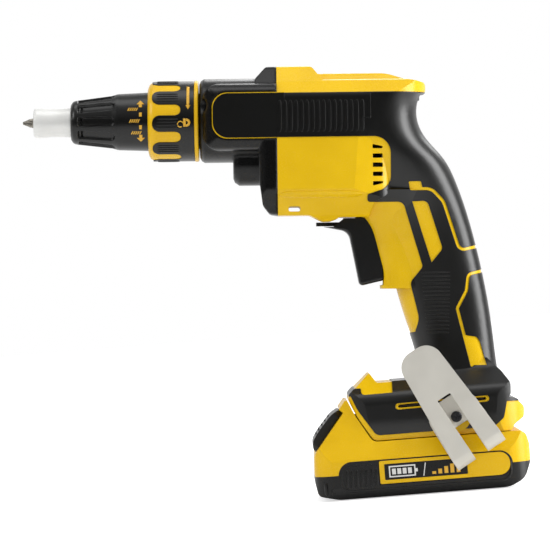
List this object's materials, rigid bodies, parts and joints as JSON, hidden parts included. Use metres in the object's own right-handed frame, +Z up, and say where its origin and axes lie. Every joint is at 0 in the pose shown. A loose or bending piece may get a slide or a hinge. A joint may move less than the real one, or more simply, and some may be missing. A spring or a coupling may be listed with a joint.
{
  "type": "drywall screwdriver",
  "caption": "Cordless pistol-grip drywall screwdriver with depth-setting nose, lock ring, trigger, rubber grip, belt hook and slide-on battery pack.",
  "frame": {"origin": "centre of the battery's flat base, on the floor", "axes": "+Z up, +X towards the back of the handle, the nose points to -X, -Y is the left side with the belt hook"},
  "size_m": [0.2541, 0.0908, 0.231],
  "materials": {
    "housing_yellow": "gloss",
    "grip_black": "matte",
    "case_black": "satin",
    "adjuster_black": "satin",
    "ring_yellow": "satin",
    "trigger_black": "satin",
    "pack_yellow": "gloss",
    "pack_black": "satin",
    "plate_black": "satin",
    "bit_steel": "satin",
    "locator_aluminium": "satin",
    "hook_steel": "satin",
    "steel": "satin",
    "screw_steel": "satin",
    "bearing_steel": "polished",
    "plate_aluminium": "satin",
    "bronze": "satin",
    "seal_rubber": "matte",
    "copper": "satin",
    "board_green": "satin",
    "fan_grey": "satin",
    "module_grey": "matte",
    "lead_red": "satin",
    "cell_wrap": "satin",
    "strap_nickel": "satin"
  },
  "bodies": {
    "tool": {"left_housing": "housing_yellow", "right_housing": "housing_yellow", "left_grip": "grip_black", "right_grip": "grip_black", "housing_screws": "screw_steel", "ring_retainer": "steel", "gear_case": "case_black", "case_screws": "screw_steel", "spindle_bearing": "bronze", "spindle_seal": "seal_rubber", "clutch_spring": "steel", "gear_bearing": "bearing_steel", "bearing_plate": "plate_aluminium", "front_motor_bearing": "bearing_steel", "rear_motor_bearing": "bearing_steel", "stator_core": "steel", "stator_windings": "copper", "sensor_board": "board_green", "trigger_spring": "steel", "switch_module": "module_grey", "control_module": "module_grey", "motor_leads": "lead_red", "battery_leads": "lead_red", "terminal_block": "module_grey", "terminal_blades": "copper", "belt_hook": "hook_steel", "belt_hook_screw": "screw_steel"},
    "rotor": {"motor_shaft": "steel", "motor_pinion": "steel", "rotor_core": "steel", "cooling_fan": "fan_grey"},
    "gear_unit": {"drive_gear": "steel"},
    "push_slide": {"thrust_washer": "bronze"},
    "spindle_unit": {"spindle": "steel", "bit_holder": "steel", "holder_magnet": "steel", "driver_bit": "bit_steel"},
    "nose_cone": {"nose_body": "case_black", "adjuster_clip": "steel"},
    "adjuster_unit": {"depth_adjuster": "adjuster_black"},
    "locator_unit": {"depth_locator": "locator_aluminium"},
    "ring_unit": {"lock_ring": "ring_yellow", "lock_ring_grip": "adjuster_black"},
    "trigger_unit": {"trigger": "trigger_black"},
    "lever_unit": {"direction_lever": "trigger_black"},
    "battery": {"battery_lower_case": "pack_black", "battery_upper_case": "pack_yellow", "battery_side_plates": "plate_black", "release_spring": "steel", "battery_cells": "cell_wrap", "cell_straps": "strap_nickel", "battery_board": "board_green", "battery_contacts": "copper", "battery_screws": "screw_steel"},
    "button_unit": {"release_button": "trigger_black"}
  },
  "joints": [
    {"name": "rotor_spin", "type": "hinge", "parent": "tool", "child": "rotor", "pos_m": [-0.04317, 0, 0.17827], "axis": [0.9978, 0, -0.0663], "continuous": true},
    {"name": "gear_spin", "type": "hinge", "parent": "tool", "child": "gear_unit", "pos_m": [-0.07655, 0, 0.20374], "axis": [0.9978, 0, -0.0663], "continuous": true},
    {"name": "spindle_push", "type": "slide", "parent": "tool", "child": "push_slide", "axis": [0.9978, 0, -0.0663], "range_m": [0, 0.0022], "stiffness_N_per_m": 1800, "springref_m": -0.002, "deforming": ["clutch_spring"]},
    {"name": "spindle_spin", "type": "hinge", "parent": "push_slide", "child": "spindle_unit", "pos_m": [-0.1015, 0, 0.2054], "axis": [0.9978, 0, -0.0663], "continuous": true},
    {"name": "nose_pull_off", "type": "slide", "parent": "tool", "child": "nose_cone", "axis": [-0.9978, 0, 0.0663], "range_m": [0, 0.08]},
    {"name": "adjuster_turn", "type": "hinge", "parent": "nose_cone", "child": "adjuster_unit", "pos_m": [-0.1464, 0, 0.20838], "axis": [0.9978, 0, -0.0663], "range_deg": [-180, 180]},
    {"name": "locator_slide", "type": "slide", "parent": "nose_cone", "child": "locator_unit", "axis": [0.9978, 0, -0.0663], "range_m": [-0.004, 0.004]},
    {"name": "lock_ring_turn", "type": "hinge", "parent": "tool", "child": "ring_unit", "pos_m": [-0.11547, 0, 0.20633], "axis": [0.9978, 0, -0.0663], "range_deg": [0, 30]},
    {"name": "trigger_pull", "type": "slide", "parent": "tool", "child": "trigger_unit", "axis": [0.9978, 0, -0.0663], "range_m": [0, 0.007], "stiffness_N_per_m": 700, "springref_m": -0.003, "deforming": ["trigger_spring"]},
    {"name": "lever_swing", "type": "hinge", "parent": "tool", "child": "lever_unit", "pos_m": [-0.02133, 0, 0.14495], "axis": [0.0663, 0, 0.9978], "range_deg": [-8, 8]},
    {"name": "battery_slide", "type": "slide", "parent": "tool", "child": "battery", "axis": [-1, 0, 0], "range_m": [0, 0.095]},
    {"name": "release_press", "type": "slide", "parent": "battery", "child": "button_unit", "axis": [0.7761, 0, -0.6306], "range_m": [0, 0.003], "stiffness_N_per_m": 1200, "springref_m": -0.002, "deforming": ["release_spring"]}
  ],
  "couplings": [
    {"joint": "gear_spin", "follows": "rotor_spin", "ratio": -0.26087},
    {"joint": "spindle_spin", "follows": "rotor_spin", "ratio": -0.26087},
    {"joint": "locator_slide", "follows": "adjuster_turn", "m_per_rad": 0.0012732}
  ]
}
